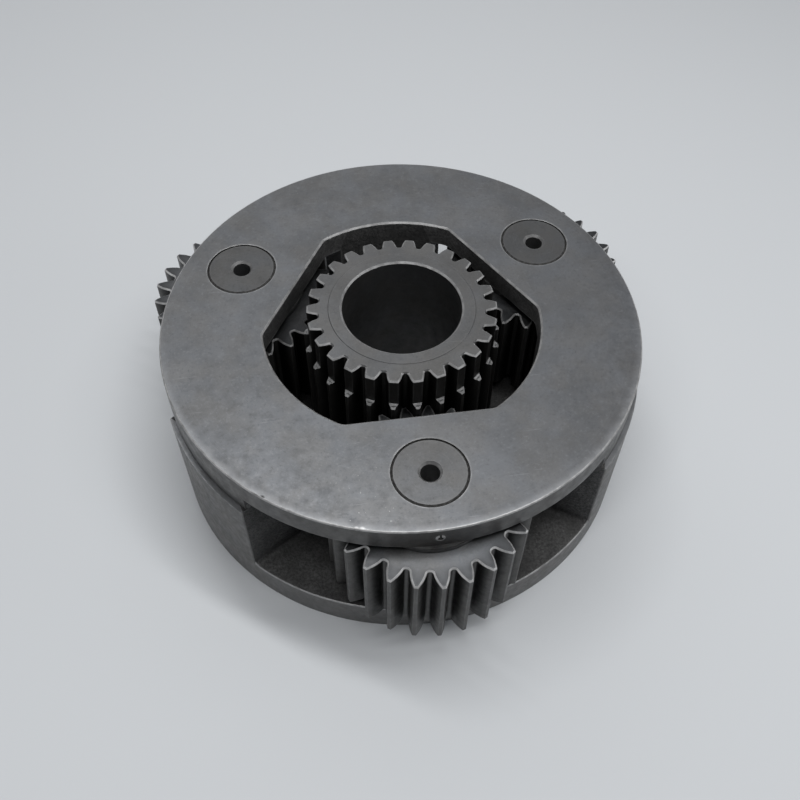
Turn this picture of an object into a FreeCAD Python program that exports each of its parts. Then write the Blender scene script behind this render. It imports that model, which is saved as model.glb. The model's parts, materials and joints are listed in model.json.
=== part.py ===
import FreeCAD, Part
import math
import os

import Sketcher
from FreeCAD import Placement, Rotation, Vector

# Three-planet reduction stage of a crawler drive: a cast carrier with three planet gears on
# needle rollers and a hollow sun gear that stands up through the window in its top plate.
# Millimetres.  The origin lies on the carrier axis in its bottom face, +Z points to the sun's
# free end, and planet 1 sits on -Y.

doc = FreeCAD.newDocument("planetary_gear_set")

# ---------------------------------------------------------------------------------------------
# Driving dimensions
# ---------------------------------------------------------------------------------------------
SIZES = {
    "planet_count": 3,
    # gearing
    "gear_module": 4,
    "sun_teeth": 26,
    "planet_teeth": 25,
    "pressure_angle": 25,
    "addendum": 4,
    "dedendum": 5,
    "tooth_thinning": 0.2,
    "root_fillet": 1.5,
    "sun_phase": 1.15,
    # carrier casting
    "body_radius": 137.5,
    "rim_radius": 135,
    "carrier_height": 104,
    "floor_height": 21,
    "shoulder_height": 79,
    "ceiling_height": 89.5,
    "relief_width": 1.6,
    "relief_depth": 1.2,
    "pillar_width": 74,
    "pillar_round": 1.0,
    "pillar_foot": 3,
    "window_radius": 78.6,
    "window_corner": 7,
    "window_flat": 67.5,
    "planet_pocket_radius": 64,
    "boss_radius": 33.8,
    "boss_height": 2.5,
    "rim_round": 1.0,
    "edge_break": 1.0,
    "foot_break": 0.7,
    "small_break": 0.25,
    "pin_break": 1.3,
    # output spline and thrust ring seat in the lower plate
    "spline_teeth": 28,
    "spline_bore_radius": 42,
    "spline_root_radius": 44.7,
    "spline_mouth_half": 2.4,
    "spline_root_half": 0.8,
    "seat_radius": 57,
    "seat_height": 19,
    # planet gears and their pins
    "planet_bottom": 27,
    "planet_width": 59,
    "planet_bore_radius": 25.04,
    "tooth_chamfer": 0.8,
    "pin_radius": 20,
    "pin_fit": 0.03,
    "pin_bottom": 3,
    "puller_radius": 5.1,
    "puller_depth": 24,
    "puller_mouth_radius": 6.4,
    "oil_bore_radius": 4,
    "oil_bore_depth": 58,
    "oil_hole_radius": 2.5,
    # spring pin that locks each planet pin
    "retainer_radius": 2.5,
    "retainer_bore_radius": 1.4,
    "retainer_slot": 0.9,
    "retainer_break": 0.5,
    "retainer_fit": 0.03,
    "retainer_height": 96.75,
    "retainer_start": 7,
    "retainer_length": 26.5,
    # needle rollers and washers
    "roller_count": 28,
    "roller_radius": 2.49,
    "roller_pitch_radius": 22.52,
    "roller_length": 27.4,
    "roller_chamfer": 0.4,
    "roller_end_gap": 0.8,
    "spacer_thickness": 2.2,
    "spacer_gap": 0.2,
    "washer_radius": 35.2,
    "washer_bore_radius": 20.3,
    "washer_thickness": 3.2,
    "running_gap": 0.15,
    # sun gear
    "sun_bottom": 25,
    "sun_top": 114.6,
    "sun_shoulder": 94.2,
    "sun_shoulder_cone": 0.9,
    "sun_spline_radius": 53.2,
    "sun_bore_radius": 33.6,
    "sun_bore_chamfer": 1.0,
    "sun_hub_radius": 41,
    "sun_hub_step": 0.4,
    "thrust_ring_radius": 56.9,
    "thrust_ring_bore": 36,
    "thrust_ring_thickness": 5.8,
}

sheet = doc.addObject("Spreadsheet::Sheet", "sizes")
for row, (alias, number) in enumerate(SIZES.items(), start=1):
    sheet.set(f"A{row}", alias)
    sheet.set(f"B{row}", str(number))
    sheet.setAlias(f"B{row}", alias)
doc.recompute()


def size(alias):
    """One driving dimension, read back from the sheet."""
    return float(getattr(sheet, alias))


def value(expression):
    """Number that an expression over the sheet gives."""
    return float(sheet.evalExpression(expression))


CENTRE_DISTANCE = "sizes.gear_module * (sizes.sun_teeth + sizes.planet_teeth) / 2"
CIRCLE_PITCH = 360 / size("planet_count")
OVERSHOOT = 5

# ---------------------------------------------------------------------------------------------
# Helpers for bodies, sketches and features
# ---------------------------------------------------------------------------------------------


def new_body(label, placement=Placement()):
    body = doc.addObject("PartDesign::Body", label)
    body.Label = label
    body.Placement = placement
    return body


def origin_feature(body, role):
    return next(feature for feature in body.Origin.OriginFeatures if feature.Role == role)


def new_sketch(body, name, plane, offset="0"):
    """Empty sketch on one of the body's own origin planes, shifted along the plane's normal."""
    sketch = body.newObject("Sketcher::SketchObject", name)
    sketch.AttachmentSupport = [(origin_feature(body, plane), "")]
    sketch.MapMode = "FlatFace"
    sketch.setExpression("AttachmentOffset.Base.z", offset)
    return sketch


def outline_sketch(body, name, plane, corners, offset="0"):
    """Closed outline of straight lines whose corners are pairs of expressions."""
    sketch = new_sketch(body, name, plane, offset)
    points = [Vector(value(across), value(along), 0) for across, along in corners]
    count = len(points)
    for index in range(count):
        sketch.addGeometry(Part.LineSegment(points[index], points[(index + 1) % count]), False)
    for index in range(count):
        sketch.addConstraint(Sketcher.Constraint("Coincident", index, 2, (index + 1) % count, 1))
    for index, (across, along) in enumerate(corners):
        for kind, number, expression in (
            ("DistanceX", points[index].x, across),
            ("DistanceY", points[index].y, along),
        ):
            place = sketch.addConstraint(Sketcher.Constraint(kind, -1, 1, index, 1, number))
            sketch.setExpression(f"Constraints[{place}]", expression)
    return sketch


def circle_sketch(body, name, plane, circles, offset="0"):
    """Circles given as (across, along, radius) expressions."""
    sketch = new_sketch(body, name, plane, offset)
    for index, (across, along, radius) in enumerate(circles):
        centre = Vector(value(across), value(along), 0)
        sketch.addGeometry(Part.Circle(centre, Vector(0, 0, 1), value(radius)), False)
        for kind, number, expression in (
            ("DistanceX", centre.x, across),
            ("DistanceY", centre.y, along),
        ):
            place = sketch.addConstraint(Sketcher.Constraint(kind, -1, 1, index, 3, number))
            sketch.setExpression(f"Constraints[{place}]", expression)
        place = sketch.addConstraint(Sketcher.Constraint("Radius", index, value(radius)))
        sketch.setExpression(f"Constraints[{place}]", radius)
    return sketch


def extrude(body, kind, name, sketch, length, upward=True):
    """Pad or pocket of a sketch; upward is along the sketch's normal."""
    feature = body.newObject(kind, name)
    feature.Profile = sketch
    feature.setExpression("Length", length)
    feature.Reversed = upward == (kind == "PartDesign::Pocket")
    doc.recompute()
    return feature


def pad(body, name, sketch, length):
    return extrude(body, "PartDesign::Pad", name, sketch, length)


def pocket(body, name, sketch, length, upward=True):
    """Pocket that is checked to have taken material away."""
    before = body.Tip.Shape.Volume
    feature = extrude(body, "PartDesign::Pocket", name, sketch, length, upward)
    if feature.Shape.Volume >= before - 1e-6:
        raise RuntimeError(f"{body.Label}: {name} cuts nothing")
    return feature


def revolve(body, name, sketch):
    """Solid of revolution about the sketch's vertical axis."""
    feature = body.newObject("PartDesign::Revolution", name)
    feature.Profile = sketch
    feature.ReferenceAxis = (sketch, ["V_Axis"])
    feature.Angle = 360
    doc.recompute()
    return feature


def groove(body, name, sketch):
    """Turned cut about the sketch's vertical axis, checked to have cut something."""
    before = body.Tip.Shape.Volume
    feature = body.newObject("PartDesign::Groove", name)
    feature.Profile = sketch
    feature.ReferenceAxis = (sketch, ["V_Axis"])
    feature.Angle = 360
    doc.recompute()
    if feature.Shape.Volume >= before - 1e-6:
        raise RuntimeError(f"{body.Label}: {name} cuts nothing")
    return feature


def polar(body, name, feature, count):
    """Copies of a feature spaced evenly about the body's Z axis."""
    pattern = body.newObject("PartDesign::PolarPattern", name)
    pattern.Originals = [feature]
    pattern.Axis = (origin_feature(body, "Z_Axis"), [""])
    pattern.Angle = 360
    pattern.setExpression("Occurrences", count)
    body.Tip = pattern
    doc.recompute()
    return pattern


def dress(body, kind, name, dimension, wanted):
    """Chamfer or fillet on the edges of the body so far that wanted() accepts."""
    base = body.Tip
    names = [f"Edge{number}" for number, edge in enumerate(base.Shape.Edges, 1) if wanted(edge)]
    if not names:
        raise RuntimeError(f"{body.Label}: no edge for {name}")
    feature = body.newObject(kind, name)
    feature.Base = (base, names)
    feature.setExpression("Radius" if kind == "PartDesign::Fillet" else "Size", dimension)
    doc.recompute()
    return feature


def at_height(edge, height):
    box = edge.BoundBox
    return abs(box.ZMin - height) < 1e-4 and abs(box.ZMax - height) < 1e-4


def edge_radii(edge):
    """Distances from the Z axis of points along an edge."""
    return [math.hypot(point.x, point.y) for point in edge.discretize(5)]


def on_cylinder(edge, radius):
    return all(abs(distance - radius) < 1e-3 for distance in edge_radii(edge))


def circle_edge_at(edge, x, y, radius, height):
    """Whether an edge is a circle about the upright axis through x, y."""
    curve = edge.Curve
    if not at_height(edge, height) or not isinstance(curve, Part.Circle):
        return False
    off_axis = math.hypot(curve.Center.x - x, curve.Center.y - y)
    return off_axis < 1e-3 and abs(curve.Radius - radius) < 1e-3


def ring_body(label, placement, outer, inner, thickness, break_size="0.3"):
    """Flat ring lying on its XY plane, with both rims and both bore edges broken."""
    body = new_body(label, placement)
    section = outline_sketch(body, f"{label}_section", "XZ_Plane", [
        (f"{inner} + {break_size}", "0"),
        (f"{outer} - {break_size}", "0"),
        (outer, break_size),
        (outer, f"{thickness} - {break_size}"),
        (f"{outer} - {break_size}", thickness),
        (f"{inner} + {break_size}", thickness),
        (inner, f"{thickness} - {break_size}"),
        (inner, break_size),
    ])
    revolve(body, f"{label}_turned", section)
    return body


def planet_place(index, height, spin=0.0, turn=0.0):
    """Placement on planet axis 1, 2 or 3: local +X points outward, plus spin about the axis."""
    direction = -90 + (index - 1) * CIRCLE_PITCH
    angle = math.radians(direction)
    radius = value(CENTRE_DISTANCE)
    base = Vector(radius * math.cos(angle), radius * math.sin(angle), height)
    return Placement(base, Rotation(Vector(0, 0, 1), direction + spin + turn))


PLANETS = range(1, int(size("planet_count")) + 1)

# ---------------------------------------------------------------------------------------------
# Involute teeth
# ---------------------------------------------------------------------------------------------


def polar_point(radius, angle):
    return Vector(radius * math.cos(angle), radius * math.sin(angle), 0)


def tooth_space_sketch(body, name, teeth):
    """Gap between two teeth, centred on +X: involute flanks, tangent root fillets, root arc."""
    module = size("gear_module")
    pressure = math.radians(size("pressure_angle"))
    pitch_radius = module * teeth / 2
    base_radius = pitch_radius * math.cos(pressure)
    root_radius = pitch_radius - size("dedendum")
    outer_radius = pitch_radius + size("addendum") + 1
    fillet = size("root_fillet")

    def involute(rolled):
        """Polar angle gained where the line of action has unrolled this far from the base."""
        return rolled / base_radius - math.atan(rolled / base_radius)

    def rolled_at(radius):
        return math.sqrt(radius ** 2 - base_radius ** 2)

    thinned = size("tooth_thinning") / 2 / pitch_radius
    half_space = math.pi / 2 / teeth + thinned
    start_angle = half_space - involute(rolled_at(pitch_radius))

    # the fillet touches the flank where its centre lies one fillet radius above the root circle
    foot = math.sqrt((root_radius + fillet) ** 2 - base_radius ** 2) - fillet
    steps = 8
    flank = []
    for step in range(steps + 1):
        rolled = foot + (rolled_at(outer_radius) - foot) * step / steps
        flank.append(polar_point(math.hypot(base_radius, rolled), start_angle + involute(rolled)))
    contact = flank[0]
    lean = math.atan(foot / base_radius)
    inward = start_angle + involute(foot) + lean - math.pi / 2
    centre = contact + polar_point(fillet, inward)
    fillet_angle = math.atan2(centre.y, centre.x)

    sketch = new_sketch(body, name, "XY_Plane")
    axis = Vector(0, 0, 1)
    for side in (1, -1):
        curve = Part.BSplineCurve()
        curve.interpolate([Vector(point.x, side * point.y, 0) for point in flank])
        sketch.addGeometry(curve, False)
        circle = Part.Circle(Vector(centre.x, side * centre.y, 0), axis, fillet)
        on_flank = inward + math.pi
        on_root = fillet_angle + math.pi
        ends = (on_flank, on_root) if side == 1 else (-on_root, -on_flank)
        sketch.addGeometry(Part.ArcOfCircle(circle, *ends), False)
    root_circle = Part.Circle(Vector(0, 0, 0), axis, root_radius)
    sketch.addGeometry(Part.ArcOfCircle(root_circle, -fillet_angle, fillet_angle), False)
    tip = flank[-1]
    sketch.addGeometry(Part.LineSegment(tip, Vector(tip.x, -tip.y, 0)), False)
    for index in range(sketch.GeometryCount):
        sketch.addConstraint(Sketcher.Constraint("Block", index))
    return sketch


def cut_teeth(body, teeth, length):
    """Cut one tooth space up to that length, repeat it round the axis, break the end outlines."""
    space = tooth_space_sketch(body, f"{body.Label}_space", size(teeth))
    cut = pocket(body, f"{body.Label}_cut", space, length)
    polar(body, f"{body.Label}_teeth", cut, f"sizes.{teeth}")
    root_radius = value(f"sizes.gear_module * sizes.{teeth} / 2 - sizes.dedendum")

    def end_outline(edge):
        on_end = at_height(edge, 0) or at_height(edge, value(length))
        return on_end and min(edge_radii(edge)) > root_radius - 0.1

    dress(body, "PartDesign::Chamfer", f"{body.Label}_outline_break",
          "sizes.tooth_chamfer", end_outline)


# ---------------------------------------------------------------------------------------------
# Carrier casting
# ---------------------------------------------------------------------------------------------


def window_corner_angle():
    return math.degrees(math.acos(size("window_flat") / size("window_radius")))


def window_sketch(body, offset):
    """Round window with a flat towards each planet pin, drawn as arcs and flats."""
    sketch = new_sketch(body, "window_outline", "XY_Plane", offset)
    half_flat = window_corner_angle()
    radius = size("window_radius")
    circle = Part.Circle(Vector(0, 0, 0), Vector(0, 0, 1), radius)
    for index in PLANETS:
        outward = -90 + (index - 1) * CIRCLE_PITCH
        start = math.radians(outward - half_flat)
        end = math.radians(outward + half_flat)
        following = math.radians(outward + CIRCLE_PITCH - half_flat)
        sketch.addGeometry(
            Part.LineSegment(polar_point(radius, start), polar_point(radius, end)), False)
        sketch.addGeometry(Part.ArcOfCircle(circle, end, following), False)
    for index in range(sketch.GeometryCount):
        sketch.addConstraint(Sketcher.Constraint("Block", index))
    return sketch


def make_carrier():
    body = new_body("carrier")
    ceiling = "sizes.ceiling_height"
    floor = "sizes.floor_height"
    plate = circle_sketch(body, "lower_plate_outline", "XY_Plane",
                          [("0", "0", "sizes.body_radius")])
    pad(body, "lower_plate", plate, floor)

    # three parallel-sided pillars midway between the planets, opened out by the central bore
    half_pillar = "sizes.pillar_width / 2"
    pillar = outline_sketch(body, "pillar_outline", "XY_Plane", [
        ("0", "0"),
        (f"-({half_pillar})", "0"),
        (f"-({half_pillar})", "sizes.body_radius + 5"),
        (half_pillar, "sizes.body_radius + 5"),
        (half_pillar, "0"),
    ])
    first = pad(body, "pillar", pillar, ceiling)
    polar(body, "pillars", first, "sizes.planet_count")
    skin = outline_sketch(body, "skin_section", "XZ_Plane", [
        ("sizes.body_radius", "-5"),
        ("sizes.body_radius + 20", "-5"),
        ("sizes.body_radius + 20", "sizes.carrier_height"),
        ("sizes.body_radius", "sizes.carrier_height"),
    ])
    groove(body, "turned_skin", skin)
    cavity = circle_sketch(body, "cavity_outline", "XY_Plane",
                           [("0", "0", "sizes.window_radius")], floor)
    pocket(body, "cavity", cavity, f"{ceiling} - {floor}")
    relief = circle_sketch(body, "planet_pocket_outline", "XY_Plane",
                           [("0", f"-({CENTRE_DISTANCE})", "sizes.planet_pocket_radius")], floor)
    first = pocket(body, "planet_pocket", relief, f"{ceiling} - {floor}")
    polar(body, "planet_pockets", first, "sizes.planet_count")

    def pillar_foot(edge):
        off_rim = not on_cylinder(edge, size("body_radius"))
        return at_height(edge, size("floor_height")) and off_rim

    def pillar_corner(edge):
        box = edge.BoundBox
        upright = box.ZMax - box.ZMin > value(f"({ceiling} - {floor}) / 2")
        return upright and on_cylinder(edge, size("body_radius"))

    # the rounding of the pillars' outer corners runs on along the lower plate's upper rim
    dress(body, "PartDesign::Fillet", "pillar_feet", "sizes.pillar_foot", pillar_foot)
    dress(body, "PartDesign::Fillet", "pillar_rounds", "sizes.pillar_round", pillar_corner)

    boss = circle_sketch(body, "boss_outline", "XY_Plane",
                         [("0", f"-({CENTRE_DISTANCE})", "sizes.boss_radius")], floor)
    first = pad(body, "boss", boss, "sizes.boss_height")
    polar(body, "bosses", first, "sizes.planet_count")
    rim = circle_sketch(body, "top_plate_outline", "XY_Plane",
                        [("0", "0", "sizes.rim_radius")], ceiling)
    pad(body, "top_plate", rim, f"sizes.carrier_height - {ceiling}")
    step = outline_sketch(body, "shoulder_section", "XZ_Plane", [
        ("sizes.rim_radius - sizes.relief_depth", "sizes.shoulder_height"),
        ("sizes.body_radius + 5", "sizes.shoulder_height"),
        ("sizes.body_radius + 5", "sizes.carrier_height + 5"),
        ("sizes.rim_radius", "sizes.carrier_height + 5"),
        ("sizes.rim_radius", "sizes.shoulder_height + sizes.relief_width"),
        ("sizes.rim_radius - sizes.relief_depth",
         "sizes.shoulder_height + sizes.relief_width - sizes.relief_depth"),
    ])
    groove(body, "shoulder", step)

    window = window_sketch(body, ceiling)
    pocket(body, "window", window, f"sizes.carrier_height - {ceiling}")

    def window_corner(edge):
        box = edge.BoundBox
        upright = box.ZMax - box.ZMin > value(f"(sizes.carrier_height - {ceiling}) / 2")
        return upright and box.ZMin > value(ceiling) - 1 and on_cylinder(edge, size("window_radius"))

    dress(body, "PartDesign::Fillet", "window_rounds", "sizes.window_corner", window_corner)
    bore = circle_sketch(body, "pin_bore_outline", "XY_Plane",
                         [("0", f"-({CENTRE_DISTANCE})", "sizes.pin_radius + sizes.pin_fit")])
    first = pocket(body, "pin_bore", bore, "sizes.carrier_height")
    polar(body, "pin_bores", first, "sizes.planet_count")

    # splined output bore with a seat for the sun's thrust ring
    spline_bore = circle_sketch(body, "spline_bore_outline", "XY_Plane",
                                [("0", "0", "sizes.spline_bore_radius")])
    pocket(body, "spline_bore", spline_bore, floor)
    seat = circle_sketch(body, "seat_outline", "XY_Plane",
                         [("0", "0", "sizes.seat_radius")], "sizes.seat_height")
    pocket(body, "thrust_seat", seat, f"{floor} - sizes.seat_height")
    space = outline_sketch(body, "spline_space_outline", "XY_Plane", [
        ("-sizes.spline_mouth_half", "sizes.spline_bore_radius - 1"),
        ("-sizes.spline_mouth_half", "sizes.spline_bore_radius"),
        ("-sizes.spline_root_half", "sizes.spline_root_radius"),
        ("sizes.spline_root_half", "sizes.spline_root_radius"),
        ("sizes.spline_mouth_half", "sizes.spline_bore_radius"),
        ("sizes.spline_mouth_half", "sizes.spline_bore_radius - 1"),
    ])
    first = pocket(body, "spline_space", space, "sizes.seat_height")
    polar(body, "output_spline", first, "sizes.spline_teeth")

    # radial hole for each spring pin, from the rim into the planet pin's bore
    hole = circle_sketch(body, "retainer_hole_outline", "XZ_Plane",
                         [("0", "sizes.retainer_height",
                           "sizes.retainer_radius + sizes.retainer_fit")],
                         CENTRE_DISTANCE)
    first = pocket(body, "retainer_hole", hole, "sizes.rim_radius")
    polar(body, "retainer_holes", first, "sizes.planet_count")

    top = size("carrier_height")
    centre = value(CENTRE_DISTANCE)
    pin_bore = value("sizes.pin_radius + sizes.pin_fit")

    def pin_bore_mouth(edge):
        for index in PLANETS:
            angle = math.radians(-90 + (index - 1) * CIRCLE_PITCH)
            x, y = centre * math.cos(angle), centre * math.sin(angle)
            if circle_edge_at(edge, x, y, pin_bore, top):
                return True
        return False

    def window_edge(edge):
        inside = max(edge_radii(edge)) < size("window_radius") + 0.01
        return at_height(edge, top) and inside

    def rim_edge(edge):
        return at_height(edge, top) and on_cylinder(edge, size("rim_radius"))

    def foot_edge(edge):
        return at_height(edge, 0) and on_cylinder(edge, size("body_radius"))

    dress(body, "PartDesign::Fillet", "rim_rounding", "sizes.rim_round", rim_edge)
    dress(body, "PartDesign::Chamfer", "window_break", "sizes.edge_break", window_edge)
    dress(body, "PartDesign::Chamfer", "pin_bore_break", "sizes.small_break", pin_bore_mouth)
    dress(body, "PartDesign::Chamfer", "foot_chamfer", "sizes.foot_break", foot_edge)
    return body


# ---------------------------------------------------------------------------------------------
# Gears
# ---------------------------------------------------------------------------------------------


def make_planet_gear(index):
    """Planet gear, phased so that its teeth mesh with the sun's at rest."""
    tooth_pitch = 360 / size("sun_teeth")
    outward = (index - 1) * CIRCLE_PITCH
    sun_offset = (size("sun_phase") - outward) % tooth_pitch
    ratio = size("sun_teeth") / size("planet_teeth")
    half_tooth = 180 / size("planet_teeth")
    place = planet_place(index, size("planet_bottom"), spin=half_tooth - ratio * sun_offset)
    body = new_body(f"planet_gear_{index}", place)
    tip = "(sizes.gear_module * sizes.planet_teeth / 2 + sizes.addendum)"
    width = "sizes.planet_width"
    section = outline_sketch(body, f"planet_section_{index}", "XZ_Plane", [
        ("sizes.planet_bore_radius + sizes.edge_break", "0"),
        (tip, "0"),
        (tip, width),
        ("sizes.planet_bore_radius + sizes.edge_break", width),
        ("sizes.planet_bore_radius", f"{width} - sizes.edge_break"),
        ("sizes.planet_bore_radius", "sizes.edge_break"),
    ])
    revolve(body, f"planet_blank_{index}", section)
    cut_teeth(body, "planet_teeth", width)
    return body


def make_sun_gear():
    """Hollow sun gear; its upper end is turned down so that the teeth serve as a spline."""
    half_tooth = 180 / size("sun_teeth")
    place = Placement(Vector(0, 0, size("sun_bottom")),
                      Rotation(Vector(0, 0, 1), -90 + size("sun_phase") + half_tooth))
    body = new_body("sun_gear", place)
    tip = "(sizes.gear_module * sizes.sun_teeth / 2 + sizes.addendum)"
    top = "(sizes.sun_top - sizes.sun_bottom)"
    shoulder = "(sizes.sun_shoulder - sizes.sun_bottom)"
    bore = "sizes.sun_bore_radius"
    section = outline_sketch(body, "sun_section", "XZ_Plane", [
        (f"{bore} + sizes.sun_bore_chamfer", "0"),
        (tip, "0"),
        (tip, f"{shoulder} - sizes.edge_break"),
        (f"{tip} - sizes.edge_break", shoulder),
        ("sizes.sun_spline_radius + sizes.sun_shoulder_cone", shoulder),
        ("sizes.sun_spline_radius", f"{shoulder} + sizes.sun_shoulder_cone"),
        ("sizes.sun_spline_radius", f"{top} - sizes.sun_hub_step"),
        ("sizes.sun_hub_radius + sizes.sun_hub_step", f"{top} - sizes.sun_hub_step"),
        ("sizes.sun_hub_radius", top),
        (f"{bore} + sizes.sun_bore_chamfer", top),
        (bore, f"{top} - sizes.sun_bore_chamfer"),
        (bore, "sizes.sun_bore_chamfer"),
    ])
    revolve(body, "sun_blank", section)
    cut_teeth(body, "sun_teeth", f"({top} - sizes.sun_hub_step)")
    return body


# ---------------------------------------------------------------------------------------------
# Pins, rollers, spacers and washers
# ---------------------------------------------------------------------------------------------


def make_planet_pin(index):
    """Planet pin: tapped for a puller on top, oil bore from below, cross holes outward."""
    label = f"planet_pin_{index}"
    body = new_body(label, planet_place(index, size("pin_bottom")))
    length = "(sizes.carrier_height - sizes.pin_bottom)"
    radius = "sizes.pin_radius"
    puller_cone = "sizes.puller_radius * 0.6"
    oil_cone = "sizes.oil_bore_radius * 0.6"
    section = outline_sketch(body, f"{label}_section", "XZ_Plane", [
        ("sizes.oil_bore_radius", "0"),
        (f"{radius} - sizes.pin_break", "0"),
        (radius, "sizes.pin_break"),
        (radius, f"{length} - sizes.pin_break"),
        (f"{radius} - sizes.pin_break", length),
        ("sizes.puller_mouth_radius", length),
        ("sizes.puller_radius",
         f"{length} - (sizes.puller_mouth_radius - sizes.puller_radius)"),
        ("sizes.puller_radius", f"{length} - sizes.puller_depth"),
        ("0", f"{length} - sizes.puller_depth - {puller_cone}"),
        ("0", f"sizes.oil_bore_depth + {oil_cone}"),
        ("sizes.oil_bore_radius", "sizes.oil_bore_depth"),
    ])
    revolve(body, f"{label}_turned", section)
    oil_height = "sizes.planet_bottom + sizes.planet_width / 2 - sizes.pin_bottom"
    oil = circle_sketch(body, f"{label}_oil_outline", "YZ_Plane",
                        [("0", oil_height, "sizes.oil_hole_radius")])
    pocket(body, f"{label}_oil_hole", oil, f"{radius} + 5")
    lock = circle_sketch(body, f"{label}_lock_outline", "YZ_Plane",
                         [("0", "sizes.retainer_height - sizes.pin_bottom",
                           "sizes.retainer_radius + sizes.retainer_fit")],
                         "sizes.retainer_start - 0.5")
    pocket(body, f"{label}_lock_hole", lock, radius)
    return body


def make_pin_retainer(index):
    """Slotted spring pin lying radially in the rim and the planet pin, slot upward."""
    label = f"pin_retainer_{index}"
    radial = planet_place(index, size("retainer_height"))
    lying = Rotation(Vector(0, 1, 0), 90)
    outward = radial.Rotation.multVec(Vector(size("retainer_start"), 0, 0))
    body = new_body(label, Placement(radial.Base + outward, radial.Rotation.multiply(lying)))
    tube = outline_sketch(body, f"{label}_section", "XZ_Plane", [
        ("sizes.retainer_bore_radius", "0"),
        ("sizes.retainer_radius - sizes.retainer_break", "0"),
        ("sizes.retainer_radius", "sizes.retainer_break"),
        ("sizes.retainer_radius", "sizes.retainer_length - sizes.retainer_break"),
        ("sizes.retainer_radius - sizes.retainer_break", "sizes.retainer_length"),
        ("sizes.retainer_bore_radius", "sizes.retainer_length"),
    ])
    revolve(body, f"{label}_rolled", tube)
    slot = outline_sketch(body, f"{label}_slot_outline", "XY_Plane", [
        ("0", "-sizes.retainer_slot / 2"),
        ("-sizes.retainer_radius - 1", "-sizes.retainer_slot / 2"),
        ("-sizes.retainer_radius - 1", "sizes.retainer_slot / 2"),
        ("0", "sizes.retainer_slot / 2"),
    ])
    pocket(body, f"{label}_slot", slot, "sizes.retainer_length")
    return body


def make_roller_row(label, index, height):
    """Full ring of loose needle rollers, a group of separate solids in one sub-part."""
    radius = size("roller_radius")
    length = size("roller_length")
    chamfer = size("roller_chamfer")
    pitch_radius = size("roller_pitch_radius")
    count = int(size("roller_count"))
    half = Part.makePolygon([
        Vector(0, 0, 0),
        Vector(radius - chamfer, 0, 0),
        Vector(radius, 0, chamfer),
        Vector(radius, 0, length - chamfer),
        Vector(radius - chamfer, 0, length),
        Vector(0, 0, length),
        Vector(0, 0, 0),
    ])
    roller = Part.Face(half).revolve(Vector(0, 0, 0), Vector(0, 0, 1), 360)
    rollers = []
    for number in range(count):
        copy = roller.copy()
        copy.translate(polar_point(pitch_radius, 2 * math.pi * number / count))
        rollers.append(copy)
    row = doc.addObject("Part::Feature", label)
    row.Label = label
    row.Shape = Part.makeCompound(rollers)
    row.Placement = planet_place(index, height)
    return row


def make_planet_bearing(index):
    """Two roller rows with a spacer between them, and a thrust washer at each gear face."""
    bottom = size("planet_bottom")
    top = bottom + size("planet_width")
    gap = size("running_gap")
    first_row = bottom + size("roller_end_gap")
    spacer = first_row + size("roller_length") + size("spacer_gap")
    second_row = spacer + size("spacer_thickness") + size("spacer_gap")
    lower_washer = bottom - gap - size("washer_thickness")
    washer = ("sizes.washer_radius", "sizes.washer_bore_radius", "sizes.washer_thickness")
    spacer_rim = "sizes.planet_bore_radius - 0.3"
    return [
        make_roller_row(f"lower_rollers_{index}", index, first_row),
        ring_body(f"roller_spacer_{index}", planet_place(index, spacer),
                  spacer_rim, "sizes.washer_bore_radius", "sizes.spacer_thickness"),
        make_roller_row(f"upper_rollers_{index}", index, second_row),
        ring_body(f"lower_thrust_washer_{index}", planet_place(index, lower_washer), *washer),
        ring_body(f"upper_thrust_washer_{index}", planet_place(index, top + gap), *washer),
    ]


# ---------------------------------------------------------------------------------------------
# Assembly, checks and export
# ---------------------------------------------------------------------------------------------
sub_parts = [make_carrier(), make_sun_gear()]
sub_parts.append(ring_body(
    "sun_thrust_ring", Placement(Vector(0, 0, size("seat_height")), Rotation()),
    "sizes.thrust_ring_radius", "sizes.thrust_ring_bore", "sizes.thrust_ring_thickness"))
for planet in PLANETS:
    sub_parts.append(make_planet_gear(planet))
    sub_parts.append(make_planet_pin(planet))
    sub_parts.append(make_pin_retainer(planet))
    sub_parts.extend(make_planet_bearing(planet))

doc.recompute()
for item in doc.Objects:
    if "Invalid" in item.State or "Error" in item.State:
        raise RuntimeError(f"{item.Label} did not recompute: {item.State}")
for part in sub_parts:
    if part.Shape.isNull() or not part.Shape.isValid():
        raise RuntimeError(f"{part.Label} has no valid shape")

os.makedirs("parts", exist_ok=True)
for part in sub_parts:
    part.Shape.exportStep(os.path.join("parts", f"{part.Label}.step"))
    box = part.Shape.BoundBox
    print(f"{part.Label:24s} {part.Shape.Volume / 1000:9.2f} cm3  "
          f"x {box.XMin:7.1f} {box.XMax:7.1f}  y {box.YMin:7.1f} {box.YMax:7.1f}  "
          f"z {box.ZMin:6.1f} {box.ZMax:6.1f}  solids {len(part.Shape.Solids)}")
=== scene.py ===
import json
import math

import bpy
from mathutils import Matrix, Vector


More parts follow.
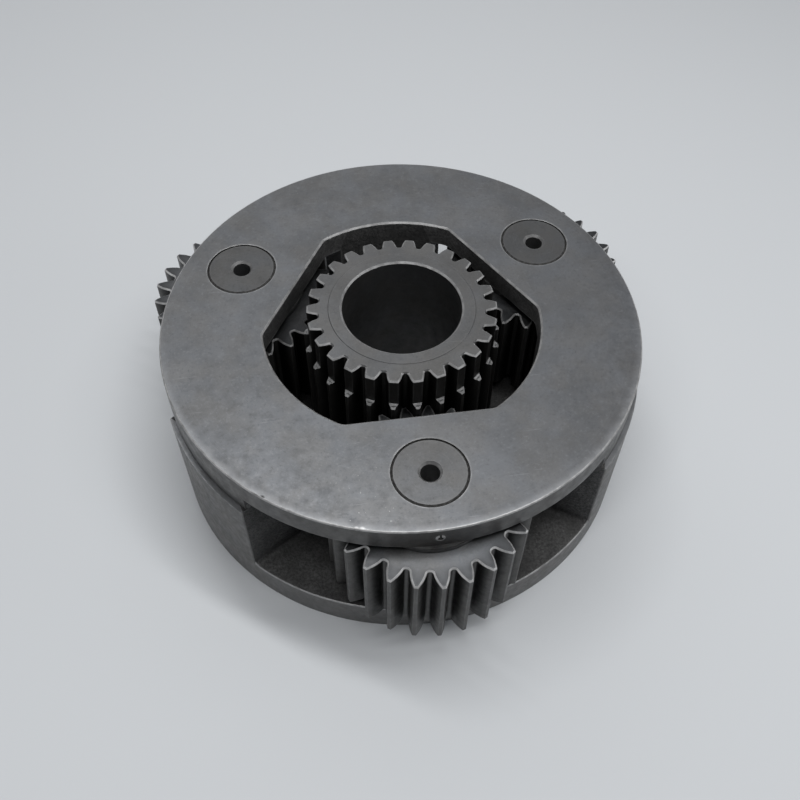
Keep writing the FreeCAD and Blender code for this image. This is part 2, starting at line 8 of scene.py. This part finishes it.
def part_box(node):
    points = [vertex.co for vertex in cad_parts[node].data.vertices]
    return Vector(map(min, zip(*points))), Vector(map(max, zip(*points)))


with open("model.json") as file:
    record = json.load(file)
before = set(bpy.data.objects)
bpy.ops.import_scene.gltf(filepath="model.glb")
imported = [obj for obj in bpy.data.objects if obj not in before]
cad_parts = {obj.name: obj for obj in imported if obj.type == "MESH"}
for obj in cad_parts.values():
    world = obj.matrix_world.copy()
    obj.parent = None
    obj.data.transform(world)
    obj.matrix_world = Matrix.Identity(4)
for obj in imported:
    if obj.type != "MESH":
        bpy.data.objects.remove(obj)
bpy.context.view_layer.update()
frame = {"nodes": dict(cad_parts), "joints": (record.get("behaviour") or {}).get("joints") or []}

# ---------------------------------------------------------------------------------------------
# Places from the frame, sizes in metres and levels of the finishes
# ---------------------------------------------------------------------------------------------
MM = 0.001
NODES = frame["nodes"]
JOINTS = {joint["name"]: joint for joint in frame["joints"]}
PLANETS = (1, 2, 3)
PLANET_AXES = {k: Vector(JOINTS[f"planet_{k}_spin"]["pos_m"]) for k in PLANETS}
AXIS = Vector((0, 0, 0))
CARRIER_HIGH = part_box("carrier")[1]
TOP = CARRIER_HIGH.z
BODY_RADIUS = CARRIER_HIGH.x
RIM_RADIUS = BODY_RADIUS - 2.5 * MM
SHOULDER = TOP - 25 * MM  # height where the turned rim begins
PLATE_TOP = 21 * MM  # upper face of the lower plate
SUN_BORE = 33.6 * MM
SUN_ROOT = 47 * MM
PLANET_ROOT = 45 * MM
TOOTH_HEIGHT = 9 * MM
GEAR_FOOT = 27 * MM  # lower end of the planets' teeth
PIN_MOUTH = 15 * MM  # between a pin's puller hole and its outer edge

# Bearing in degrees, size and grey level of each mark in the front of the rim: the two bright ones
# are painted glints on chips, the dark one is a chip.
RIM_CHIPS_AND_GLINTS = ((-106.0, 2.0 * MM, 0.50), (-107.2, 1.7 * MM, 0.42), (-128.3, 1.8 * MM, 0.03))

# How metallic each family of skins is.
METALLIC_PHOSPHATE = 0.65
METALLIC_WORN_GEAR = 0.85
METALLIC_CAST = 0.15
METALLIC_BARE = 0.45
METALLIC_GRIME = 0.1

# Grey level of each planet pin's end: the front one is lighter than the two at the back.
PIN_LEVELS = {1: 0.122, 2: 0.092, 3: 0.092}

DEEP_SHADE_COLOUR = (0.003, 0.003, 0.003, 1)  # colour of the painted shade deep inside, where light hardly reaches
SHADE_REACH = 45 * MM  # how far parts shade each other
FLOOR_COLOUR = (0.60, 0.62, 0.64, 1)


# ---------------------------------------------------------------------------------------------
# Small node-graph builder
# ---------------------------------------------------------------------------------------------
class Graph:
    """Shader graph of one material, with short calls for the nodes that the finishes need."""

    def __init__(self, name):
        self.material = bpy.data.materials.new(name)
        self.material.use_nodes = True
        self.nodes = self.material.node_tree.nodes
        self.links = self.material.node_tree.links
        self.nodes.clear()
        self.output = self.nodes.new("ShaderNodeOutputMaterial")
        self.shader = self.nodes.new("ShaderNodeBsdfPrincipled")
        self.links.new(self.shader.outputs["BSDF"], self.output.inputs["Surface"])
        self.coordinates = self.nodes.new("ShaderNodeTexCoord")
        self.place = self.coordinates.outputs["Object"]

    def set(self, socket, value):
        """Puts a number, a colour or another node's output on a socket."""
        if isinstance(value, bpy.types.NodeSocket):
            self.links.new(value, socket)
        else:
            socket.default_value = value

    def math(self, operation, first, second=0.0):
        """One sum of two numbers, such as ADD or MAXIMUM."""
        node = self.nodes.new("ShaderNodeMath")
        node.operation = operation
        self.set(node.inputs[0], first)
        self.set(node.inputs[1], second)
        return node.outputs[0]

    def span(self, value, low, high, to_low=0.0, to_high=1.0):
        """Smooth step of a value from one range to another."""
        node = self.nodes.new("ShaderNodeMapRange")
        node.interpolation_type = "SMOOTHSTEP"
        self.set(node.inputs["Value"], value)
        self.set(node.inputs["From Min"], low)
        self.set(node.inputs["From Max"], high)
        self.set(node.inputs["To Min"], to_low)
        self.set(node.inputs["To Max"], to_high)
        return node.outputs["Result"]

    def mix(self, factor, first, second):
        """Colour that goes from first to second."""
        node = self.nodes.new("ShaderNodeMix")
        node.data_type = "RGBA"
        self.set(node.inputs["Factor"], factor)
        self.set(node.inputs["A"], first)
        self.set(node.inputs["B"], second)
        return node.outputs["Result"]

    def shifted(self, offset):
        """The place on the object, moved by an offset, so that two noises don't repeat."""
        node = self.nodes.new("ShaderNodeVectorMath")
        node.operation = "ADD"
        self.set(node.inputs[0], self.place)
        node.inputs[1].default_value = (offset, offset * 0.7, offset * 1.3)
        return node.outputs["Vector"]

    def noise(self, size, detail=4.0, roughness=0.55, stretch=(1, 1, 1), turn=0.0, distortion=0.0,
              offset=0.0):
        """Noise whose blotches are about size metres across."""
        mapping = self.nodes.new("ShaderNodeMapping")
        mapping.inputs["Rotation"].default_value = (0, 0, turn)
        mapping.inputs["Scale"].default_value = stretch
        self.set(mapping.inputs["Vector"], self.shifted(offset) if offset else self.place)
        node = self.nodes.new("ShaderNodeTexNoise")
        self.set(node.inputs["Vector"], mapping.outputs["Vector"])
        node.inputs["Scale"].default_value = 1 / size
        node.inputs["Detail"].default_value = detail
        node.inputs["Roughness"].default_value = roughness
        node.inputs["Distortion"].default_value = distortion
        return node.outputs["Fac"]

    def times(self, *values):
        """Product of several numbers."""
        product = values[0]
        for value in values[1:]:
            product = self.math("MULTIPLY", product, value)
        return product

    def split(self, vector):
        """The x, y and z of a vector."""
        node = self.nodes.new("ShaderNodeSeparateXYZ")
        self.set(node.inputs["Vector"], vector)
        return node.outputs

    def radius(self, centre):
        """Distance from the upright axis through a point."""
        shift = self.nodes.new("ShaderNodeVectorMath")
        shift.operation = "SUBTRACT"
        self.set(shift.inputs[0], self.place)
        shift.inputs[1].default_value = (centre.x, centre.y, 0)
        flat = self.nodes.new("ShaderNodeVectorMath")
        flat.operation = "MULTIPLY"
        self.set(flat.inputs[0], shift.outputs["Vector"])
        flat.inputs[1].default_value = (1, 1, 0)
        length = self.nodes.new("ShaderNodeVectorMath")
        length.operation = "LENGTH"
        self.set(length.inputs[0], flat.outputs["Vector"])
        return length.outputs["Value"]

    def distance(self, point):
        """Distance from a point of the object."""
        node = self.nodes.new("ShaderNodeVectorMath")
        node.operation = "DISTANCE"
        self.set(node.inputs[0], self.place)
        node.inputs[1].default_value = point
        return node.outputs["Value"]

    def lines(self, along, pitch, detail=3.0):
        """Fine parallel tool marks that change with one coordinate only."""
        node = self.nodes.new("ShaderNodeTexNoise")
        node.noise_dimensions = "1D"
        self.set(node.inputs["W"], along)
        node.inputs["Scale"].default_value = 1 / pitch
        node.inputs["Detail"].default_value = detail
        return node.outputs["Fac"]

    def hollow(self, distance, inside=False):
        """Ambient occlusion, 1 where open; inside=True looks into the metal, 1 away from edges."""
        node = self.nodes.new("ShaderNodeAmbientOcclusion")
        node.inside = inside
        node.only_local = inside
        node.samples = 8
        node.inputs["Distance"].default_value = distance
        return node.outputs["AO"]

    def bump(self, height, strength, distance, normal=None):
        """Surface direction roughened by a height, on top of an earlier direction if given."""
        node = self.nodes.new("ShaderNodeBump")
        node.inputs["Strength"].default_value = strength
        node.inputs["Distance"].default_value = distance
        self.set(node.inputs["Height"], height)
        if normal is not None:
            self.set(node.inputs["Normal"], normal)
        return node.outputs["Normal"]

    def finish(self, colour, roughness, metallic, normal=None):
        """Feeds the shader and hands over the material."""
        self.set(self.shader.inputs["Base Color"], colour)
        self.set(self.shader.inputs["Roughness"], roughness)
        self.set(self.shader.inputs["Metallic"], metallic)
        if normal is not None:
            self.set(self.shader.inputs["Normal"], normal)
        return self.material


def around(angle, radius):
    """Point of the top face at an angle in degrees and a radius from the axis."""
    turn = math.radians(angle)
    return Vector((radius * math.cos(turn), radius * math.sin(turn), TOP))


def grey(level, tint=0.0):
    """Near-neutral linear grey; a positive tint leans it to blue, a negative one to brown."""
    return (level * (1 - tint), level, level * (1 + 1.5 * tint), 1)


# ---------------------------------------------------------------------------------------------
# Finishes
# ---------------------------------------------------------------------------------------------
def phosphate(graph, level, tint, grain=0.006):
    """Colour of a phosphated and oiled steel skin: clouds, blotches and blue and brown casts."""
    cloud = graph.noise(0.030, detail=4)
    hue = graph.noise(0.018, detail=4, offset=0.31)
    blotch = graph.noise(grain, detail=6, roughness=0.68, offset=0.17)
    fleck = graph.noise(grain * 0.25, detail=3, roughness=0.6, offset=0.53)
    dark = graph.mix(graph.span(hue, 0.35, 0.65), grey(level * 0.88, tint),
                     grey(level * 0.88, tint - 0.03))
    light = graph.mix(graph.span(hue, 0.35, 0.65), grey(level * 1.10, tint + 0.01),
                      grey(level * 1.10, tint - 0.02))
    base = graph.mix(graph.span(cloud, 0.32, 0.68), dark, light)
    base = graph.mix(graph.span(blotch, 0.50, 0.74, 0, 0.45), base, grey(level * 0.62, tint))
    base = graph.mix(graph.span(blotch, 0.46, 0.30, 0, 0.35), base, grey(level * 1.42, tint))
    base = graph.mix(graph.span(fleck, 0.56, 0.72, 0, 0.45), base, grey(level * 0.6, tint))
    base = graph.mix(graph.span(fleck, 0.44, 0.28, 0, 0.40), base, grey(level * 1.5, tint))
    return base, blotch


def rubbed_edges(graph, base, reach, amount, level=0.40):
    """Brightens the colour along sharp outer edges, unevenly, where handling wore the skin off."""
    edge = graph.span(graph.hollow(reach, inside=True), 0.50, 0.96, amount, 0)
    patch = graph.span(graph.noise(0.007, detail=4, offset=0.71), 0.35, 0.62, 0.25, 1)
    return graph.mix(graph.times(edge, patch), base, grey(level, 0.01))


def paint_rim_wear_and_highlight(graph, base, amount):
    """Paler skin near the rim on planet 1's side: partly wear where the carrier gets gripped and
    set down, partly a painted highlight where the front rim catches the light.
    """
    east, north, _ = graph.split(graph.place)
    side = graph.span(north, 0.030, -0.085)
    near_rim = graph.span(graph.radius(AXIS), RIM_RADIUS - 5 * MM, RIM_RADIUS)
    patch = graph.span(graph.noise(0.006, detail=5, offset=0.91), 0.30, 0.62, 0.75, 1)
    # Painted highlight along the front rim, partly handling wear.
    wear_and_highlight = graph.times(side, near_rim, patch, amount)
    base = graph.mix(wear_and_highlight, base, grey(0.42, 0.02))
    dent = graph.span(graph.noise(0.0016, detail=1, offset=0.63), 0.72, 0.78)
    front_left = graph.times(graph.span(east, -0.055, -0.040), graph.span(east, 0.0, -0.015),
                             graph.span(north, -0.085, -0.105))
    base = graph.mix(graph.times(dent, front_left, 0.6), base, grey(0.45))
    # Two bright marks are painted glints on chips; the dark one is a chip.
    for angle, size, shade in RIM_CHIPS_AND_GLINTS:
        chip_and_glint = graph.span(graph.distance(around(angle, RIM_RADIUS - 0.5 * MM)), size, size * 0.4)
        base = graph.mix(chip_and_glint, base, grey(shade))
    return base


def paint_deep_shade(graph, base, low, high, least=0.2):
    """Painted shade: darkens what lies deep between other parts, where light hardly reaches."""
    open_air = graph.span(graph.hollow(SHADE_REACH), low, high, least, 1)
    return graph.mix(open_air, DEEP_SHADE_COLOUR, base)


def gear_contour(graph, base, level, tint):
    """Darker skin over the teeth and along the outline of a gear's end face."""
    narrow = graph.span(graph.hollow(0.004, inside=True), 0.60, 0.95, 0.75, 0)
    tooth = graph.span(graph.hollow(0.012, inside=True), 0.45, 0.95, 0.75, 0)
    base = graph.mix(tooth, base, grey(level * 0.4, tint))
    return graph.mix(narrow, base, grey(level * 0.3, tint))


def turned_steel(name, level, centre=AXIS, tint=0.018, roughness=0.46, marks=0.16, grain=0.006,
                 scratches=0.5, rim_wear_and_highlight=0.0, metallic=METALLIC_PHOSPHATE, toothed=False,
                 rubbed=0.75):
    """Dark phosphated face turned on a lathe: mottled, finely ringed, with a few scratches."""
    graph = Graph(name)
    base, blotch = phosphate(graph, level, tint, grain)
    # Lighter band along the front rim: partly handling wear, partly a painted highlight.
    if rim_wear_and_highlight:
        base = paint_rim_wear_and_highlight(graph, base, rim_wear_and_highlight)
    rings = graph.lines(graph.radius(centre), 0.0008)
    base = graph.mix(graph.span(rings, 0.52, 0.85, 0, marks), base, grey(level * 1.5, tint))
    for turn, offset in ((0.15, 0.11), (1.9, 0.43)):
        scratch = graph.noise(0.0012, detail=2, stretch=(0.035, 1, 1), turn=turn, offset=offset)
        area = graph.span(graph.noise(0.03, detail=2, offset=offset + 0.2), 0.52, 0.62)
        line = graph.times(graph.span(scratch, 0.69, 0.75, 0, scratches), area)
        base = graph.mix(line, base, grey(level * 2.0, tint))
    if toothed:
        base = gear_contour(graph, base, level, tint)
        # Painted shade deep between the parts.
        base = paint_deep_shade(graph, base, 0.35, 0.62)
    base = rubbed_edges(graph, base, 0.0014, rubbed)
    rough = graph.math("ADD", graph.span(blotch, 0.3, 0.7, -0.07, 0.10), roughness)
    normal = graph.bump(rings, 0.08, 0.0002)
    normal = graph.bump(blotch, 0.10, 0.0003, normal)
    return graph.finish(base, rough, metallic, normal)


def body_skin(name, level, tint=-0.008):
    """Turned outside of the body: matt over the pillars, lighter round the lower plate."""
    graph = Graph(name)
    base, blotch = phosphate(graph, level, tint, grain=0.004)
    height = graph.split(graph.place)[2]
    lighter_low = graph.span(height, PLATE_TOP + 5 * MM, PLATE_TOP - 3 * MM, 0, 0.25)
    base = graph.mix(lighter_low, base, grey(level * 2.5, tint))
    base = rubbed_edges(graph, base, 0.0014, 0.75)
    rough = graph.math("ADD", graph.span(blotch, 0.3, 0.7, -0.07, 0.10), 0.46)
    return graph.finish(base, rough, METALLIC_BARE, graph.bump(blotch, 0.10, 0.0003))


def cast_steel(name, level, tint=-0.005):
    """Sand-cast skin: grainy, matt and darker, with painted shade in the corners and deep between
    parts.
    """
    graph = Graph(name)
    grain = graph.noise(0.0016, detail=6, roughness=0.65)
    swell = graph.noise(0.012, detail=4, offset=0.37)
    base = graph.mix(graph.span(swell, 0.3, 0.7), grey(level * 0.75, tint),
                     grey(level * 1.25, tint))
    base = graph.mix(graph.span(grain, 0.40, 0.66, 0, 0.8), base, grey(level * 0.35, tint))
    base = graph.mix(graph.span(grain, 0.40, 0.26, 0, 0.7), base, grey(level * 2.2, tint))
    base = rubbed_edges(graph, base, 0.0020, 0.5, level=level * 3)
    # Painted shade in the corners and close to other surfaces.
    open_air = graph.span(graph.hollow(0.020), 0.2, 0.9)
    base = graph.mix(open_air, grey(level * 0.35, tint), base)
    # Painted shade deep between the parts.
    base = paint_deep_shade(graph, base, 0.10, 0.50, least=0.35)
    normal = graph.bump(grain, 0.90, 0.0008)
    normal = graph.bump(swell, 0.5, 0.0015, normal)
    return graph.finish(base, 0.66, METALLIC_CAST, normal)


def gear_steel(name, level, centre, root, tint=-0.02):
    """Case-hardened flank with generating marks along the tooth; painted shade low in the tooth
    spaces and between parts, painted light toward the tip, along the root and on the lower teeth.
    """
    graph = Graph(name)
    base, blotch = phosphate(graph, level, tint, grain=0.004)
    strokes = graph.noise(0.0010, detail=3, stretch=(1, 1, 0.03), offset=0.29)
    base = graph.mix(graph.span(strokes, 0.52, 0.8, 0, 0.35), base, grey(level * 1.6, tint))
    base = rubbed_edges(graph, base, 0.0010, 0.8)
    radius = graph.radius(centre)
    height = graph.split(graph.place)[2]
    # Painted light from the light floor on the lower part of the teeth.
    floor_light = graph.span(height, GEAR_FOOT + 20 * MM, GEAR_FOOT + 4 * MM, 0, 0.6)
    lit_share = graph.span(radius, root + 3 * MM, root + TOOTH_HEIGHT)
    lit_share = graph.math("MAXIMUM", lit_share, floor_light)
    # Painted shade deep in the tooth spaces, painted highlight toward the tip.
    base = graph.mix(lit_share, grey(level * 0.18, tint), base)
    base = graph.mix(graph.span(lit_share, 0.55, 1, 0, 0.45), base, grey(level * 1.9, tint))
    # Painted highlight along the root of each tooth space.
    root_highlight = graph.span(radius, root + 0.6 * MM, root + 0.2 * MM, 0, 0.7)
    base = graph.mix(root_highlight, base, grey(level * 1.5, tint))
    # Painted shade deep between the parts.
    base = paint_deep_shade(graph, base, 0.15, 0.45)
    rough = graph.math("ADD", graph.span(blotch, 0.3, 0.7, -0.06, 0.1), 0.42)
    normal = graph.bump(strokes, 0.12, 0.0002)
    normal = graph.bump(blotch, 0.10, 0.0003, normal)
    return graph.finish(base, rough, METALLIC_PHOSPHATE, normal)


def bare_steel(name, level, low=0.45, with_painted_shade=False):
    """Bare rubbed or ground steel, as on edges rubbed by handling, rollers and spring pins; it can
    also get painted shade deep between parts.
    """
    graph = Graph(name)
    rub = graph.noise(0.006, detail=5, roughness=0.7)
    base = graph.mix(graph.span(rub, 0.35, 0.62), grey(level * low), grey(level * 1.1))
    if with_painted_shade:
        # Painted shade deep between the parts.
        base = paint_deep_shade(graph, base, 0.30, 0.62)
    rough = graph.span(rub, 0.3, 0.7, 0.34, 0.34 + 0.15)
    return graph.finish(base, rough, METALLIC_BARE)


def grime_and_shade_steel(name, level):
    """Dirt and old oil packed in a narrow groove, and painted shade in gaps and holes that get this
    dark finish.
    """
    graph = Graph(name)
    speck = graph.noise(0.0015, detail=4)
    base = graph.mix(graph.span(speck, 0.4, 0.7), grey(level * 0.5, -0.02),
                     grey(level * 1.6, -0.02))
    return graph.finish(base, 0.7, METALLIC_GRIME, graph.bump(speck, 0.4, 0.0003))


# ---------------------------------------------------------------------------------------------
# Giving faces their finish
# ---------------------------------------------------------------------------------------------
def dress(node, finishes, choose):
    """Puts the finishes in a node's slots and gives each face the one that choose() names."""
    mesh = NODES[node].data
    names = list(finishes)
    mesh.materials.clear()
    for name in names:
        mesh.materials.append(finishes[name])
    for face in mesh.polygons:
        face.material_index = names.index(choose(face.center, face.normal))


def is_chamfer(normal):
    """Whether a face slopes, as chamfers do."""
    return 0.3 < abs(normal.z) < 0.95


def carrier_face(point, normal):
    """Which skin of the carrier a face belongs to."""
    radius = math.hypot(point.x, point.y)
    in_groove = SHOULDER < point.z < SHOULDER + 2.5 * MM and radius < RIM_RADIUS
    if in_groove and radius > RIM_RADIUS - 1.5 * MM:
        return "groove"
    if 0.1 < abs(normal.z) < 0.98 and (point.z > TOP - 2 * MM or point.z < 2 * MM):
        return "edge"
    if is_chamfer(normal) and radius > BODY_RADIUS - MM:
        return "edge"
    if normal.z > 0.9 and point.z > SHOULDER - MM:
        return "turned"
    if normal.z < -0.9 and point.z < MM:
        return "turned"
    if radius < BODY_RADIUS - MM and point.z > SHOULDER and abs(normal.z) < 0.3:
        return "side" if radius > RIM_RADIUS - 5 * MM else "wall"
    if radius > BODY_RADIUS - MM and abs(normal.z) < 0.3:
        return "skin"
    return "cast"


def dress_carrier(edge, groove):
    dress("carrier", {
        "turned": turned_steel("turned_top", 0.146, tint=0.035, roughness=0.42, rim_wear_and_highlight=0.4),
        # Painted shade: the rim's side is a darker copy of the turned steel, as it faces away from
        # the lamps.
        "side": turned_steel("turned_side_painted_shade", 0.074, tint=-0.008, roughness=0.38, marks=0.08,
                             scratches=0.2, rubbed=0.15),
        "skin": body_skin("body_skin", 0.110),
        "cast": cast_steel("cast_skin", 0.078),
        # Painted light: the window walls are a lighter copy of the cast skin.
        "wall": cast_steel("window_wall_painted_light", 0.120),
        "edge": edge,
        "groove": groove,
    }, carrier_face)


def sun_face(point, normal):
    """Which skin of the sun gear a face belongs to."""
    radius = math.hypot(point.x, point.y)
    if abs(normal.z) < 0.1 and radius < SUN_BORE + MM:
        return "bore"
    if is_chamfer(normal):
        return "edge" if radius < SUN_BORE + 2 * MM or radius > SUN_ROOT else "end"
    return "end" if abs(normal.z) > 0.95 else "flank"


def planet_face(point, normal):
    """Which skin of a planet gear a face belongs to."""
    if is_chamfer(normal):
        return "edge"
    return "end" if abs(normal.z) > 0.95 else "flank"


def dress_gears(edge):
    # The planets' end faces get painted shade where they lie deep under the top plate.
    end = turned_steel("gear_end", 0.150, tint=0.035, roughness=0.36, marks=0.08, grain=0.004,
                       metallic=METALLIC_WORN_GEAR, toothed=True)
    sun_end = turned_steel("sun_end", 0.118, tint=0.015, roughness=0.42, marks=0.1, grain=0.004)
    flank = gear_steel("sun_flank", 0.055, AXIS, SUN_ROOT)
    bore = turned_steel("sun_bore", 0.065, tint=0.01, marks=0.0, scratches=0.0)
    dress("sun_gear", {"end": sun_end, "flank": flank, "edge": edge, "bore": bore}, sun_face)
    # The planets' outlines get painted shade where they lie deep under the top plate.
    outline = bare_steel("gear_outline", 0.50, low=0.7, with_painted_shade=True)
    for k in PLANETS:
        flank = gear_steel(f"planet_flank_{k}", 0.058, PLANET_AXES[k], PLANET_ROOT)
        dress(f"planet_gear_{k}", {"end": end, "flank": flank, "edge": outline}, planet_face)


def pin_face(point, normal, axis):
    """The groove round the pin's end gets the dark groove finish, dirt and painted shade in the
    gap; the mouth of its puller hole gets a lighter finish, painted light on a cone that faces away
    from the lamps.
    """
    if not is_chamfer(normal):
        return "pin"
    outside = math.hypot(point.x - axis.x, point.y - axis.y) > PIN_MOUTH
    return "groove" if outside else "mouth"


def dress_pins(groove):
    # Painted light: the mouth cone gets a lighter finish than the pin's end, as it faces away from
    # the lamps.
    mouth = bare_steel("puller_mouth_painted_light", 0.19, low=0.8)
    for k in PLANETS:
        pin = turned_steel(f"pin_end_{k}", PIN_LEVELS[k], centre=PLANET_AXES[k],
                           roughness=0.42, marks=0.2, grain=0.005)
        dress(f"planet_pin_{k}", {"pin": pin, "groove": groove, "mouth": mouth},
              lambda point, normal: pin_face(point, normal, PLANET_AXES[k]))


def retainer_face(point, normal):
    """The outer end of a spring pin gets the bright bare edge finish; its bore and sides get the
    dark groove finish, painted shade in the hole.
    """
    outward = (point.x * normal.x + point.y * normal.y) / math.hypot(point.x, point.y)
    return "end" if outward > 0.5 else "bore"


def dress_small_parts(edge, groove):
    # Painted shade: washers and spacers are made very dark, for the shadow under the rim.
    washer = bare_steel("washer_painted_shade", 0.05)
    roller = bare_steel("roller", 0.4)
    for node in NODES:
        if "washer" in node or "spacer" in node or "thrust" in node:
            dress(node, {"washer": washer}, lambda point, normal: "washer")
        if "rollers" in node:
            dress(node, {"roller": roller}, lambda point, normal: "roller")
        if "retainer" in node:
            dress(node, {"end": edge, "bore": groove}, retainer_face)


def dress_all():
    edge = bare_steel("worn_edge", 0.37, low=0.7)
    groove = grime_and_shade_steel("grime_and_shade_groove", 0.04)
    dress_carrier(edge, groove)
    dress_gears(edge)
    dress_pins(groove)
    dress_small_parts(edge, groove)


# ---------------------------------------------------------------------------------------------
# Studio
# ---------------------------------------------------------------------------------------------
def add_floor():
    bpy.ops.mesh.primitive_plane_add(size=6, location=(0, 0, 0))
    floor = bpy.context.object
    floor.name = "studio_floor"
    graph = Graph("studio_floor")
    floor.data.materials.append(graph.finish(FLOOR_COLOUR, 0.9, 0.0))


def add_light(name, place, width, depth, watts):
    """Rectangular lamp that shines at the middle of the carrier's top face."""
    data = bpy.data.lights.new(name, "AREA")
    data.shape = "RECTANGLE"
    data.size = width
    data.size_y = depth
    data.energy = watts
    light = bpy.data.objects.new(name, data)
    bpy.context.scene.collection.objects.link(light)
    light.location = place
    sight = Vector((0, 0, TOP)) - light.location
    light.rotation_euler = sight.to_track_quat("-Z", "Y").to_euler()


def add_lights():
    """Two long tubes overhead, a soft light behind, a weak one each side and dim air."""
    add_light("front_tube", (0.05, -0.49, 1.30), 1.70, 0.06, 9)
    add_light("top_tube", (0.10, 0.13, 1.35), 1.20, 0.10, 9)
    add_light("back_left", (-0.20, 1.25, 1.15), 1.6, 1.6, 5.5)
    add_light("right_window", (1.4, -0.35, 0.55), 0.8, 0.6, 2.4)
    add_light("left_window", (-1.5, -0.1, 0.5), 0.8, 0.6, 1.2)
    world = bpy.data.worlds.new("studio_air")
    world.use_nodes = True
    background = world.node_tree.nodes["Background"]
    background.inputs["Color"].default_value = (0.86, 0.91, 1.0, 1)
    background.inputs["Strength"].default_value = 0.08
    bpy.context.scene.world = world
    bpy.context.scene.view_settings.view_transform = "Standard"


def add_camera():
    """Camera at the view of the reference: aim point on the top face, line of sight and roll."""
    aim = Vector((1.8 * MM, -30.9 * MM, TOP))
    distance = 0.498
    bearing = math.radians(9.63)
    elevation = math.radians(51.45)
    roll = math.radians(1.60)
    sight = Vector((math.sin(bearing) * math.cos(elevation),
                    math.cos(bearing) * math.cos(elevation), -math.sin(elevation)))
    level = sight.cross(Vector((0, 0, 1))).normalized()
    up = level.cross(sight)
    right = level * math.cos(roll) + up * math.sin(roll)
    up = right.cross(sight)
    data = bpy.data.cameras.new("camera")
    data.lens = 41.12
    data.sensor_width = 36
    data.shift_x = -0.0163
    data.shift_y = -0.0496
    data.clip_start = 0.01
    camera = bpy.data.objects.new("camera", data)
    bpy.context.scene.collection.objects.link(camera)
    turn = Matrix((right, up, -sight)).transposed().to_4x4()
    camera.matrix_world = Matrix.Translation(aim - sight * distance) @ turn
    bpy.context.scene.camera = camera


dress_all()
add_floor()
add_lights()
add_camera()
